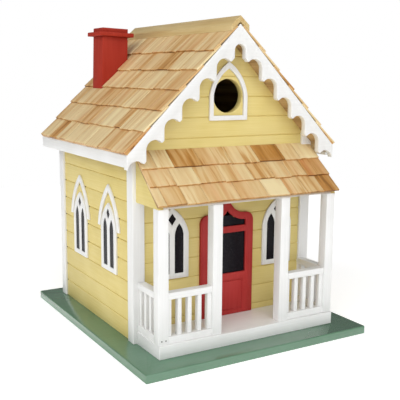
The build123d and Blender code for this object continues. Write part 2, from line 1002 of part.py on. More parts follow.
def stop_battens():
    """Two battens inside the rear wall that the clean-out door closes against."""
    y1 = wall_rear_y - wall_thick
    z0 = cleanout_z - stop_lap
    z1 = cleanout_z + cleanout_height + stop_lap
    inner = cleanout_half - stop_lap
    right = block(inner, inner + stop_width, y1 - stop_depth, y1, z0, z1)
    return [right, mirrored(right)]


def hinge_screw_places(side):
    """Where the hinge screws enter the wood: side -1 is the wall, side 1 the door."""
    x = hinge_x + side * (hinge_leaf / 2 + knuckle_r / 2)
    places = []
    for level in hinge_levels:
        for step in (-1, 1):
            places.append((x, wall_rear_y, level + step * screw_spacing / 2))
    return places


def knuckle_zone(level, index):
    """Bottom and top of one of a hinge's three knuckles."""
    third = (hinge_height - 2 * knuckle_gap) / 3
    bottom = level - hinge_height / 2 + index * (third + knuckle_gap)
    return bottom, bottom + third


def knuckle(level, index, radius):
    """A round bar along the hinge line over one knuckle."""
    bottom, top = knuckle_zone(level, index)
    return rod(radius, top - bottom, (hinge_x, hinge_y, bottom), (0, 0, 1))


def hinge_half(level, side):
    """One leaf with its knuckles. The fixed leaf, side -1, has the outer two."""
    own, other = ((0, 2), (1,)) if side < 0 else ((1,), (0, 2))
    x0, x1 = sorted((hinge_x, hinge_x + side * hinge_leaf))
    half = hinge_height / 2
    leaf = block(
        x0, x1, wall_rear_y, wall_rear_y + hinge_leaf_thick, level - half, level + half
    )
    for index in other:
        bottom, top = knuckle_zone(level, index)
        room = knuckle_r + knuckle_gap
        leaf -= block(
            hinge_x - room,
            hinge_x + room,
            wall_rear_y - cut_through,
            wall_rear_y + hinge_leaf_thick + cut_through,
            bottom - knuckle_gap,
            top + knuckle_gap,
        )
    for index in own:
        leaf += knuckle(level, index, knuckle_r)
    clear = screw_clear if side < 0 else pin_clear
    height = hinge_height + 2 * cut_through
    start = (hinge_x, hinge_y, level - height / 2)
    leaf -= rod(hinge_pin_r + clear, height, start, (0, 0, 1))
    for place in hinge_screw_places(side):
        leaf -= rod(screw_r + screw_clear, hinge_leaf_thick, place, (0, 1, 0))
    return leaf


def hinge_leaves(side):
    """The leaves of both hinges on one side."""
    return [hinge_half(level, side) for level in hinge_levels]


def hinge_pins():
    """The two hinge pins, held by the fixed leaves."""
    start = -hinge_height / 2
    place = [(hinge_x, hinge_y, level + start) for level in hinge_levels]
    return [rod(hinge_pin_r, hinge_height, bottom, (0, 0, 1)) for bottom in place]


def hinge_screws(side):
    """Small round-headed screws through one side of the hinges."""
    screws = []
    for x, y, z in hinge_screw_places(side):
        face = y + hinge_leaf_thick
        shank = rod(screw_r, screw_length + hinge_leaf_thick, (x, face, z), (0, -1, 0))
        screws.append(shank + rod(screw_head_r, screw_head, (x, face, z), (0, 1, 0)))
    return screws


def turn_button():
    """The round-ended button beside the door, turned upright to let the door open."""
    outline = SlotOverall(button_length, button_width, rotation=90)
    outline -= Circle(button_screw_r + pin_clear)
    place = Pos(button_x, cleanout_mid_z) * outline
    return plate_xz(place, button_y, button_y + button_thick)


def button_screw():
    """The screw that the turn button swings on."""
    face = button_y + button_thick + button_lift / 2
    place = (button_x, face, cleanout_mid_z)
    length = face - wall_rear_y + button_pilot()
    shank = rod(button_screw_r, length, place, (0, -1, 0))
    return shank + rod(button_head_r, button_head, place, (0, 1, 0))


def cleanout_knob():
    """A turned wooden knob with a dowel into the door."""
    place = (knob_x, wall_rear_y, cleanout_mid_z)
    knob = rod(knob_dowel_r, knob_dowel, place, (0, -1, 0))
    knob += rod(knob_neck_r, knob_length / 2, place, (0, 1, 0))
    face = (knob_x, wall_rear_y + knob_neck, cleanout_mid_z)
    head = rod(knob_r, knob_length - knob_neck, face, (0, 1, 0))
    return knob + chamfer(head.edges().filter_by(GeomType.CIRCLE), knob_chamfer)


def save(name, shape):
    """Write a node; a list is written as separate solids."""
    shapes = shape if isinstance(shape, list) else [shape]
    solids = [solid for one in shapes for solid in one.solids()]
    whole = solids[0] if len(solids) == 1 else Compound(children=solids)
    whole.label = name
    export_step(whole, "parts/" + name + ".step")


def both_sides(name, shape):
    """Write a right-hand piece and its mirror image."""
    shapes = shape if isinstance(shape, list) else [shape]
    save(name + "_right", shapes)
    save(name + "_left", [mirrored(one) for one in shapes])


def save_body():
    save("base_board", base_board())
    save("porch_deck", porch_deck())
    save("front_wall", front_wall())
    save("rear_wall", rear_wall())
    both_sides("side_wall", right_wall())
    both_sides("corner_post_front", corner_post(house_front_y))
    both_sides("corner_post_rear", corner_post(house_rear_y - post_side))


def save_roof():
    both_sides("roof_panel", roof_panel_right())
    both_sides("eave_fascia", eave_fascia_right())
    both_sides("ridge_cap", ridge_cap_right())
    save("bargeboard_front", bargeboard())
    save("starter_strips", starter_strips())
    for side in ("left", "right"):
        for k, part in enumerate(shingle_groups):
            first = k * course_count // len(shingle_groups)
            last = (k + 1) * course_count // len(shingle_groups)
            courses = [roof_course(side, number + 1) for number in range(first, last)]
            save("shingles_" + side + "_" + part, sum(courses, []))
    save("chimney_shaft", chimney_shaft())
    save("chimney_collar", chimney_collar())
    save("chimney_cap", chimney_cap())


def save_front():
    save("entrance_trim", entrance_trim())
    save("front_door", front_door())
    save("door_glass", door_glass())
    frame = window_frame()
    glass = window_glass()
    save("window_frames_front", on_front(frame))
    save("window_frames_left", on_side(frame, -1))
    save("window_frames_right", on_side(frame, 1))
    save("window_glass", on_front(glass) + on_side(glass, -1) + on_side(glass, 1))
    save("window_hoods", on_side(window_hood(), -1) + on_side(window_hood(), 1))


def save_porch():
    both_sides("porch_post_outer", porch_post(outer_post_x))
    both_sides("porch_post_inner", porch_post(inner_post_x))
    both_sides("front_railing", front_railing_right())
    both_sides("side_railing", side_railing_right())
    both_sides("porch_cheek", porch_cheek_right())
    save("porch_header", porch_header())
    save("porch_roof_panel", porch_roof_panel())
    for number in range(1, len(porch_boards) + 1):
        save("porch_shingles_" + str(number), porch_course(number))


def save_cleanout():
    save("cleanout_door", cleanout_door())
    save("cleanout_knob", cleanout_knob())
    save("door_stop_battens", stop_battens())
    save("hinge_leaves_fixed", hinge_leaves(-1))
    save("hinge_leaves_moving", hinge_leaves(1))
    save("hinge_pins", hinge_pins())
    save("hinge_screws_wall", hinge_screws(-1))
    save("hinge_screws_door", hinge_screws(1))
    save("turn_button", turn_button())
    save("turn_button_screw", button_screw())


os.makedirs("parts", exist_ok=True)
save_body()
save_roof()
save_front()
save_porch()
save_cleanout()
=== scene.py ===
import json
from math import cos, pi, radians, sin

import bmesh
import bpy
import numpy as np
from mathutils import Matrix, Vector

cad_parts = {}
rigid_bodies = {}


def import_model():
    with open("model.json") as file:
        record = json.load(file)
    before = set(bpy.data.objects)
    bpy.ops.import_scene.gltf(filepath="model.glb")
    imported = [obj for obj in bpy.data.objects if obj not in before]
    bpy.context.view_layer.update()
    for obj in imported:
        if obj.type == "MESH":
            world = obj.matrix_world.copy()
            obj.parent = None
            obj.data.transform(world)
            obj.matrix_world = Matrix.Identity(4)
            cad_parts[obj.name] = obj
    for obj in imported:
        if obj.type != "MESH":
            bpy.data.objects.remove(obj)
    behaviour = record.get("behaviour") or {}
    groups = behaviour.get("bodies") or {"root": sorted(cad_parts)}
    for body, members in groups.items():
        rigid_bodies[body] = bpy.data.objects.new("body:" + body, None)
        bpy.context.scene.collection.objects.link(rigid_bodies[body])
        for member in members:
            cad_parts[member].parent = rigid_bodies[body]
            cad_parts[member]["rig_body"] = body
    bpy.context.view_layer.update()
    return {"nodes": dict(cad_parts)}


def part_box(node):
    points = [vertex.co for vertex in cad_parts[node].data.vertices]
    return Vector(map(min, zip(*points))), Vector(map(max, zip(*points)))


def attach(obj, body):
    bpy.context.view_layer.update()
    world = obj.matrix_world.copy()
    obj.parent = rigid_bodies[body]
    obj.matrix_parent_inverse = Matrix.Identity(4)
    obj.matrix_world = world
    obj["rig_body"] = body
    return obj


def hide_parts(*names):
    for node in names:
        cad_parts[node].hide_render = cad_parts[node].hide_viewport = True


# Cottage birdhouse in painted wood with a varnished pine shingle roof. Metres, +Z up, the porch faces -Y.

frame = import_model()
mm = 0.001

# --- the roof's slopes
roof_pitch = radians(45)
porch_pitch = radians(41.5)

# --- reading CAD meshes: points nearer than this are one, and faces that meet flatter than this are one
weld = 0.002 * mm
flat = radians(0.4)

# --- how far each kind of board is sanded back at its edges
edge_board = 0.45 * mm
edge_siding = edge_board * 0.6
edge_panel = edge_board * 0.5
edge_trim = 0.35 * mm
edge_post = 0.5 * mm
edge_base = 0.9 * mm
edge_shingle = 0.22 * mm
edge_metal = 0.12 * mm

# --- siding joints: the first one's height over the base, their spacing, and how far the hoods' sides bow
joint_first = 18.0 * mm
joint_pitch = 18.9 * mm
joints_with_specks = 7
speck_radius = 0.6 * mm
hood_fullness = 0.72

# --- turned pieces: each screw's head height, shank radius and driver slot, the knob's profile, the brads
hinge_screw = (0.9 * mm, 0.9 * mm, 0.7 * mm)
button_screw = (1.6 * mm, 1.5 * mm, 1.0 * mm)
knob_out = 9 * mm
knob_radius = (0, 1.6, 2, 2, 2.5, 2.5, 2.2, 2.4, 3.5, 4.5, 5, 4.8, 4.2, 3.1, 1.6, 0)
knob_height = (-6, -6, -5.6, 0, 0, 0.5, 1.5, 2.4, 3.1, 4.1, 5.7, 7, 8, 8.7, 9, 9)
brad_radius = 0.62 * mm
brad_rise = 4 * mm
brad_steps = (3.1 * mm, 7.2 * mm)

# --- studio: how bright the surround and the floor are, and the lamps' places, sizes and watts
surround_front = 0.36
surround_back = 0.2
floor_glow = 0.48
floor_far_glow = 0.75
floor_radius = 0.95
lamps = (
    ("key", (-1.4, -1.0, 1.1), 1.2, 10.0),
    ("front", (-0.2, -1.4, 1.2), 1.2, 7.5),
    ("porch", (-0.1, -1.5, 0.3), 0.9, 2.0),
    ("top", (-0.3, -0.3, 1.9), 1.4, 3.5),
    ("left", (-1.5, 0.2, 1.3), 1.0, 6.0),
    ("right", (1.6, -0.7, 0.7), 1.2, 1.5),
)

# --- camera: its angles in degrees, its lens in millimetres, and the point it looks at
camera_azimuth, camera_elevation, camera_roll = -30.881, 9.856, 0.469
camera_lens = 64.095
camera_distance = 0.856257
camera_target = (0.063061, 0.088977, 0.106009)

# --- shingle relief
relief_step = 4.5 * mm
shortest_edge = 0.3 * mm
cup_depth = 0.25 * mm
butt_ripple = 0.22 * mm
surface_ripple = 0.08 * mm
end_grain = 0.42

# --- how dark, how pink and how striped the shingles in view are, from 0 to 1, course by course
looks = {
    "shingles_left_upper": {
        "tone": ((0.2, 0.27, 0.33, 0.24, 0.18, 0.3), (0.1, 0.15, 0.55, 0.2, 0.28, 0.2, 0.33)),
        "blush": ((0.3, 0.6, 0.2, 0.5), (0.1, 0.0, 0.1, 0.4, 0.2)),
    },
    "shingles_left_middle": {
        "tone": ((0.33, 0.2, 0.16, 0.27, 0.2), (0.33, 0.45, 0.12, 0.2, 0.4, 0.3, 0.26)),
        "blush": ((0.5, 0.2, 0.1, 0.3), (0.6, 0.7, 0.0, 0.5, 0.6, 0.4)),
    },
    "shingles_left_lower": {
        "tone": ((0.04, 0.1, 0.52, 0.08, 0.2, 0.3, 0.2, 0.1), (0.18, 0.3, 0.1, 0.08, 0.14, 0.2, 0.55, 0.2)),
        "blush": ((0.0, 0.1, 0.2, 0.1, 0.7, 0.5, 0.6), (0.6, 0.6, 0.1, 0.1, 0.2, 0.2, 0.3)),
    },
    "porch_shingles_1": {
        "tone": ((0.22, 0.12, 0.55, 0.28, 0.16, 0.66, 0.14, 0.02),),
        "blush": ((0.1, 0.0, 0.1, 0.5, 0.2, 0.0, 0.2, 0.0),),
        "stripe": ((0.8, 0.5, 0.4, 0.9, 1.0, 0.05, 0.3, 0.2),),
    },
    "porch_shingles_2": {
        "tone": ((0.26, 0.1, 0.3, 0.27, 0.32, 0.24, 0.28, 0.5),),
        "blush": ((0.6, 0.1, 0.3, 0.7, 0.1, 0.3, 0.4, 1.0),),
    },
    "porch_shingles_3": {
        "tone": ((0.1, 0.36, 0.24, 0.26, 0.24, 0.03, 0.24, 0.34, 0.56),),
        "blush": ((0.0, 0.4, 0.4, 0.8, 0.4, 0.0, 0.9, 0.1, 0.1),),
    },
}


# ---------------------------------------------------------------- colours and nodes

def colour(code):
    """An sRGB hex value as the linear colour that shaders take."""
    values = [int(code[k:k + 2], 16) / 255 for k in (1, 3, 5)]
    linear = [v / 12.92 if v <= 0.04045 else ((v + 0.055) / 1.055) ** 2.4 for v in values]
    return (*linear, 1.0)


def fill(tree, node, inputs):
    """Links or sets a node's inputs by name or number. A node stands for its first output."""
    for key, value in inputs.items():
        if isinstance(value, bpy.types.Node):
            value = value.outputs[0]
        if isinstance(value, bpy.types.NodeSocket):
            tree.links.new(value, node.inputs[key])
        else:
            node.inputs[key].default_value = value


def add(tree, kind, inputs=None, **settings):
    """Adds a node, sets its own properties, and fills its inputs."""
    node = tree.nodes.new(kind)
    for key, value in settings.items():
        setattr(node, key, value)
    fill(tree, node, inputs or {})
    return node


def new_material(name):
    """An empty material with its shader and output, ready for a pattern."""
    material = bpy.data.materials.new(name)
    material.use_nodes = True
    tree = material.node_tree
    tree.nodes.clear()
    shader = add(tree, "ShaderNodeBsdfPrincipled")
    add(tree, "ShaderNodeOutputMaterial", {"Surface": shader})
    return material, tree, shader


def set_stops(ramp, stops):
    """Gives a colour ramp its stops, as places with hex colours."""
    elements = ramp.color_ramp.elements
    while len(elements) < len(stops):
        elements.new(0.5)
    for element, (place, code) in zip(elements, stops):
        element.position = place
        element.color = colour(code)
    return ramp


def rows_of(size_along, size_across, axis):
    """Mapping scale for streaks that run along one axis: a long period there and a short one across."""
    scale = [1 / size_across] * 3
    scale["xyz".index(axis)] = 1 / size_along
    return scale


# ---------------------------------------------------------------- materials
# A Map Range node's inputs 0 to 4 are its value, the range it comes from and the range it goes to.
# A Math node's are its numbers. A colour Mix node's 6 and 7 are its colours, and its output 2 the result.

def brushed_paint(name, body, shade, axis, rough, sheen=0.35, relief=0.55):
    """Satin acrylic house paint, brushed on sanded wood.

    To the eye it is an even coat with soft brush marks along the board, faint raised grain under it,
    and slow changes of tone where the coat is thicker. The brush marks are drawn about twice as coarse
    as real ones, so that they show.
    """
    material, tree, shader = new_material(name)
    place = add(tree, "ShaderNodeTexCoord").outputs["Object"]
    stroke = add(tree, "ShaderNodeMapping", {"Vector": place, "Scale": rows_of(45 * mm, 1.1 * mm, axis)})
    marks = add(tree, "ShaderNodeTexNoise", {"Vector": stroke, "Scale": 1.0, "Detail": 3.0})
    fibre = add(tree, "ShaderNodeMapping", {"Vector": place, "Scale": rows_of(60 * mm, 3.2 * mm, axis)})
    raised = {"Vector": fibre, "Scale": 1.0, "Detail": 4.0, "Distortion": 0.6}
    raised = add(tree, "ShaderNodeTexNoise", raised)
    cloud = add(tree, "ShaderNodeTexNoise", {"Vector": place, "Scale": 1 / (38 * mm), "Detail": 2.0})
    peel = add(tree, "ShaderNodeTexNoise", {"Vector": place, "Scale": 1 / (1.6 * mm), "Detail": 2.0})
    thick = add(tree, "ShaderNodeMath", {0: marks, 1: 0.45}, operation="MULTIPLY")
    thick = add(tree, "ShaderNodeMath", {0: cloud, 1: 0.55, 2: thick}, operation="MULTIPLY_ADD")
    share = add(tree, "ShaderNodeMapRange", {0: thick, 1: 0.36, 2: 0.66, 3: 0.0, 4: 1.0})
    coat = add(tree, "ShaderNodeMix", {"Factor": share, 6: colour(shade), 7: colour(body)}, data_type="RGBA")
    gloss = add(tree, "ShaderNodeMapRange", {0: marks, 1: 0.3, 2: 0.7, 3: rough + 0.06, 4: rough - 0.05})
    height = add(tree, "ShaderNodeMath", {0: raised, 1: 0.5}, operation="MULTIPLY")
    height = add(tree, "ShaderNodeMath", {0: marks, 1: 0.45, 2: height}, operation="MULTIPLY_ADD")
    height = add(tree, "ShaderNodeMath", {0: peel, 1: 0.2, 2: height}, operation="MULTIPLY_ADD")
    bump = add(tree, "ShaderNodeBump", {"Height": height, "Strength": relief, "Distance": 0.12 * mm})
    fill(tree, shader, {"Base Color": coat.outputs[2], "Roughness": gloss, "Normal": bump})
    fill(tree, shader, {"IOR": 1.46, "Specular IOR Level": sheen})
    return material


def varnished_pine(name, stops, ring=4.2 * mm, rough=0.4, depth=0.1 * mm):
    """Clear-finished pine or cedar, sawn thin.

    To the eye each board has its own tone, from cream to orange brown, with broad pale and tan bands that
    run along the grain, darker streaks of late wood in some boards, a pink cast in others, and fine fibres
    under a satin varnish. The attribute "grain" holds each board's own coordinates, X along the grain.
    The attributes "tone", "blush" and "stripe" say how dark, pink and striped the board is. The late wood
    is drawn about twice as wide as real growth rings, so that it shows.
    """
    material, tree, shader = new_material(name)
    place, tone, blush, stripe = (
        add(tree, "ShaderNodeAttribute", attribute_name=key).outputs[kind]
        for key, kind in (("grain", "Vector"), ("tone", "Fac"), ("blush", "Fac"), ("stripe", "Fac"))
    )
    streaks = []
    for along, across, detail, bend in (
        (160 * mm, ring, 2.0, 0.25),
        (24 * mm, 0.6 * mm, 2.0, 0.0),
        (120 * mm, 10 * mm, 2.0, 0.0),
        (110 * mm, 8 * mm, 1.0, 0.0),
    ):
        drawn = add(tree, "ShaderNodeMapping", {"Vector": place, "Scale": rows_of(along, across, "x")})
        noise = {"Vector": drawn, "Scale": 1.0, "Detail": detail, "Distortion": bend}
        streaks.append(add(tree, "ShaderNodeTexNoise", noise))
    rings, fibre, bands, casts = streaks
    late = {0: rings, 1: 0.5, 2: 0.62, 3: 0.0, 4: 1.0}
    late = add(tree, "ShaderNodeMapRange", late, interpolation_type="SMOOTHSTEP")
    strength = add(tree, "ShaderNodeMapRange", {0: stripe, 1: 0.0, 2: 1.0, 3: 0.05, 4: 0.34})
    level = add(tree, "ShaderNodeMath", {0: late, 1: strength, 2: tone}, operation="MULTIPLY_ADD")
    band = add(tree, "ShaderNodeMapRange", {0: bands, 1: 0.3, 2: 0.72, 3: -0.14, 4: 0.26})
    level = add(tree, "ShaderNodeMath", {0: level, 1: band}, operation="ADD")
    hair = add(tree, "ShaderNodeMapRange", {0: fibre, 1: 0.3, 2: 0.7, 3: -0.035, 4: 0.035})
    level = add(tree, "ShaderNodeMath", {0: level, 1: hair}, operation="ADD", use_clamp=True)
    ramp = set_stops(add(tree, "ShaderNodeValToRGB", {"Fac": level}), stops)
    cast = add(tree, "ShaderNodeMapRange", {0: casts, 1: 0.42, 2: 0.66, 3: 0.0, 4: 0.85})
    cast = add(tree, "ShaderNodeMath", {0: cast, 1: blush}, operation="MULTIPLY")
    pink = {"Factor": 1.0, 6: ramp, 7: colour("#F4D3C0")}
    pink = add(tree, "ShaderNodeMix", pink, data_type="RGBA", blend_type="MULTIPLY")
    wood = add(tree, "ShaderNodeMix", {"Factor": cast, 6: ramp, 7: pink.outputs[2]}, data_type="RGBA")
    height = add(tree, "ShaderNodeMath", {0: late, 1: 0.6, 2: fibre}, operation="MULTIPLY_ADD")
    gloss = add(tree, "ShaderNodeMapRange", {0: rings, 1: 0.3, 2: 0.7, 3: rough + 0.06, 4: rough - 0.05})
    bump = add(tree, "ShaderNodeBump", {"Height": height, "Strength": 0.5, "Distance": depth})
    fill(tree, shader, {"Base Color": wood.outputs[2], "Roughness": gloss, "Normal": bump})
    fill(tree, shader, {"IOR": 1.48, "Specular IOR Level": 0.35})
    return material


def bare_plywood(name):
    """Bare birch plywood and softwood strip.

    To the eye it is a dull tan board whose edge shows thin darker glue lines, one for each ply.
    """
    material, tree, shader = new_material(name)
    place = add(tree, "ShaderNodeTexCoord").outputs["Object"]
    tilted = add(tree, "ShaderNodeMapping", {"Vector": place, "Rotation": (0, roof_pitch, 0)})
    plies = {"Vector": tilted, "Scale": 0.32 / (1.6 * mm) / 10, "Distortion": 0.6, "Detail": 2.0}
    plies = add(tree, "ShaderNodeTexWave", plies, bands_direction="Z").outputs["Fac"]
    streak = add(tree, "ShaderNodeMapping", {"Vector": place, "Scale": rows_of(40 * mm, 1.5 * mm, "y")})
    grain = add(tree, "ShaderNodeTexNoise", {"Vector": streak, "Scale": 1.0, "Detail": 4.0})
    level = add(tree, "ShaderNodeMath", {0: plies, 1: 0.35, 2: grain}, operation="MULTIPLY_ADD")
    ramp = add(tree, "ShaderNodeValToRGB", {"Fac": level})
    set_stops(ramp, ((0.3, "#8E6E44"), (0.55, "#B08F60"), (0.9, "#C7A877")))
    bump = add(tree, "ShaderNodeBump", {"Height": grain, "Strength": 0.5, "Distance": 0.12 * mm})
    fill(tree, shader, {"Base Color": ramp, "Normal": bump, "Roughness": 0.7})
    return material


def dark_acrylic(name, body, shade):
    """Gloss black acrylic sheet, cast, with a little dust.

    To the eye it is a near-black pane that picks up soft, slightly wavy reflections.
    """
    material, tree, shader = new_material(name)
    place = add(tree, "ShaderNodeTexCoord").outputs["Object"]
    wave = add(tree, "ShaderNodeTexNoise", {"Vector": place, "Scale": 1 / (18 * mm), "Detail": 1.0})
    dust = add(tree, "ShaderNodeTexNoise", {"Vector": place, "Scale": 1 / (0.9 * mm), "Detail": 3.0})
    film = add(tree, "ShaderNodeMapRange", {0: dust, 1: 0.45, 2: 0.8, 3: 0.0, 4: 0.5})
    tint = add(tree, "ShaderNodeMix", {"Factor": film, 6: colour(body), 7: colour(shade)}, data_type="RGBA")
    gloss = add(tree, "ShaderNodeMapRange", {0: dust, 1: 0.3, 2: 0.8, 3: 0.16, 4: 0.34})
    bump = add(tree, "ShaderNodeBump", {"Height": wave, "Strength": 0.25, "Distance": 0.3 * mm})
    fill(tree, shader, {"Base Color": tint.outputs[2], "Roughness": gloss, "Normal": bump})
    fill(tree, shader, {"IOR": 1.49, "Specular IOR Level": 0.12})
    return material


def plain_metal(name, body, stain, rough, axis):
    """Rolled or plated metal: brass hinge strip, or zinc-plated steel.

    To the eye it is a satin metal with fine rolling lines and a faint uneven tarnish. The rolling lines
    are drawn several times as coarse as real ones, so that they show.
    """
    material, tree, shader = new_material(name)
    place = add(tree, "ShaderNodeTexCoord").outputs["Object"]
    lines = add(tree, "ShaderNodeMapping", {"Vector": place, "Scale": rows_of(12 * mm, 0.35 * mm, axis)})
    rolled = add(tree, "ShaderNodeTexNoise", {"Vector": lines, "Scale": 1.0, "Detail": 3.0})
    patch = add(tree, "ShaderNodeTexNoise", {"Vector": place, "Scale": 1 / (5 * mm), "Detail": 4.0})
    dull = add(tree, "ShaderNodeMapRange", {0: patch, 1: 0.45, 2: 0.75, 3: 0.0, 4: 0.7})
    tint = add(tree, "ShaderNodeMix", {"Factor": dull, 6: colour(body), 7: colour(stain)}, data_type="RGBA")
    gloss = add(tree, "ShaderNodeMapRange", {0: rolled, 1: 0.3, 2: 0.7, 3: rough - 0.06, 4: rough + 0.08})
    bump = add(tree, "ShaderNodeBump", {"Height": rolled, "Strength": 0.3, "Distance": 0.04 * mm})
    fill(tree, shader, {"Base Color": tint.outputs[2], "Roughness": gloss, "Normal": bump, "Metallic": 1.0})
    return material


shingle_stops = (
    (0.0, "#EFDCAC"),
    (0.25, "#E3C896"),
    (0.5, "#D4AB71"),
    (0.75, "#BB8441"),
    (1.0, "#7C4F22"),
)
ridge_stops = ((0.0, "#DAC592"), (0.35, "#CDB27A"), (0.7, "#B9925A"), (1.0, "#8A6034"))

paints = {}
for axis in "xyz":
    paints["yellow_" + axis] = brushed_paint(
        "yellow_siding_paint_" + axis, "#E6D48E", "#DDC97D", axis, rough=0.5
    )
    paints["white_" + axis] = brushed_paint(
        "white_trim_paint_" + axis, "#F1F1F0", "#E8E8E6", axis, rough=0.4
    )
# Gloss enamel on the base: nearly no brush marks, so it mirrors the walls softly.
paints["green"] = brushed_paint(
    "green_gloss_enamel", "#5F866B", "#597F64", "x", rough=0.17, sheen=1.0, relief=0.06
)
paints["red_chimney"] = brushed_paint(
    "red_chimney_paint", "#B03A2B", "#A22F22", "z", rough=0.5, sheen=0.15
)
paints["red_door"] = brushed_paint("red_door_paint", "#B73936", "#A92D2C", "z", rough=0.45, sheen=0.25)
shingle_wood = varnished_pine("varnished_pine_shingle", shingle_stops)
ridge_wood = varnished_pine("varnished_pine_ridge_board", ridge_stops, ring=3.4 * mm)
plywood = bare_plywood("bare_plywood")
# Painted shade in the open ends of the siding grooves, on bare wood that the paint doesn't reach: dark and
# matt, with no shine.
bare_and_shaded_speck = brushed_paint("bare_wood_with_painted_groove_shade", "#5C4A26", "#46381B", "y", rough=0.8, sheen=0.1)
dark_pane = dark_acrylic("black_acrylic_pane", "#171419", "#27232C")
brass = plain_metal("rolled_brass_hinge", "#D8B36A", "#A5783A", 0.3, "z")
zinc = plain_metal("zinc_plated_screw", "#C9C9C5", "#9C9A92", 0.34, "x")
dull_steel = plain_metal("dull_brad_steel", "#6A655C", "#4A453E", 0.6, "x")


# ---------------------------------------------------------------- meshes

def merged(node):
    """A copy of a CAD node's mesh with its loose triangles joined into flat faces."""
    shape = bmesh.new()
    shape.from_mesh(frame["nodes"][node].data)
    bmesh.ops.remove_doubles(shape, verts=shape.verts, dist=weld)
    bmesh.ops.dissolve_limit(shape, angle_limit=flat, verts=shape.verts, edges=shape.edges)
    return shape


def to_mesh(shape, name):
    """A finished bmesh as a new mesh."""
    mesh = bpy.data.meshes.new(name)
    shape.to_mesh(mesh)
    shape.free()
    return mesh


def riding(name, mesh, node, material):
    """Puts a finished mesh in the scene, on the same body as a CAD node."""
    piece = bpy.data.objects.new(name, mesh)
    bpy.context.scene.collection.objects.link(piece)
    mesh.materials.clear()
    mesh.materials.append(material)
    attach(piece, frame["nodes"][node]["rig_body"])
    return piece


def as_piece(name, mesh, node, material):
    """Puts a finished mesh in the scene in place of a CAD node, on the node's body."""
    piece = riding(name, mesh, node, material)
    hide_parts(node)
    return piece


def ease_edges(piece, width):
    """Rounds a piece's sharp edges as sandpaper does, and keeps its flat faces flat."""
    bevel = piece.modifiers.new("sanded_edges", "BEVEL")
    bevel.width = width
    bevel.segments = 2
    bevel.limit_method = "ANGLE"
    bevel.angle_limit = radians(32)
    bevel.use_clamp_overlap = False
    bevel.harden_normals = True
    piece.data.shade_smooth()


def sanded(node, material, width):
    """A board with its edges eased, in place of the CAD node."""
    mesh = to_mesh(merged(node), node + "_sanded")
    piece = as_piece(node + "_sanded", mesh, node, material)
    ease_edges(piece, width)
    return piece


def board_numbers(mesh):
    """Numbers the separate boards of a mesh, by spreading the lowest vertex number along the edges."""
    edges = np.empty(len(mesh.edges) * 2, int)
    mesh.edges.foreach_get("vertices", edges)
    edges = edges.reshape(-1, 2)
    label = np.arange(len(mesh.vertices))
    while True:
        low = np.minimum(label[edges[:, 0]], label[edges[:, 1]])
        spread = label.copy()
        np.minimum.at(spread, edges[:, 0], low)
        np.minimum.at(spread, edges[:, 1], low)
        if np.array_equal(spread, label):
            break
        label = spread
    return np.unique(label, return_inverse=True)[1]


def slice_evenly(shape, direction, step):
    """Cuts every face of a mesh along evenly spaced planes, so that it can bend."""
    direction = Vector(direction).normalized()
    reach = [vertex.co.dot(direction) for vertex in shape.verts]
    for level in np.arange(min(reach) + step, max(reach), step):
        whole = list(shape.verts) + list(shape.edges) + list(shape.faces)
        bmesh.ops.bisect_plane(
            shape, geom=whole, dist=1e-7, plane_co=direction * float(level), plane_no=direction
        )


def slope_axes(name):
    """Unit vectors of a roof slope: down it, along the eave, and out of it."""
    if name == "porch":
        down = (0, -cos(porch_pitch), -sin(porch_pitch))
        out = (0, -sin(porch_pitch), cos(porch_pitch))
        return np.array(down), np.array((1, 0, 0)), np.array(out)
    side = 1 if name == "right" else -1
    down = (side * cos(roof_pitch), 0, -sin(roof_pitch))
    out = (side * sin(roof_pitch), 0, cos(roof_pitch))
    return np.array(down), np.array((0, 1, 0)), np.array(out)


def vertex_places(mesh):
    """The vertices of a mesh as an array of points."""
    place = np.empty(len(mesh.vertices) * 3)
    mesh.vertices.foreach_get("co", place)
    return place.reshape(-1, 3)


def spans(values, board, boards):
    """The lowest and highest value on each board."""
    low, high = np.full(boards, np.inf), np.full(boards, -np.inf)
    np.minimum.at(low, board, values)
    np.maximum.at(high, board, values)
    return low, high


def board_looks(kind, node, course, order, random):
    """One number from 0 to 1 for each board: seeded, or as listed for the boards in view."""
    scale = {"tone": 0.4, "blush": 0.7, "stripe": 0.8}[kind]
    values = random.random(len(order)) * scale
    for number, row in enumerate(looks.get(node, {}).get(kind, ())):
        chosen = order[course[order] == number][: len(row)]
        values[chosen] = row[: len(chosen)]
    return values


def wood_attributes(mesh, grain, **numbers):
    """Writes the grain coordinates on the vertices and the boards' looks on the faces."""
    mesh.attributes.new("grain", "FLOAT_VECTOR", "POINT").data.foreach_set("vector", grain.ravel())
    for name, values in numbers.items():
        mesh.attributes.new(name, "FLOAT", "FACE").data.foreach_set("value", values)


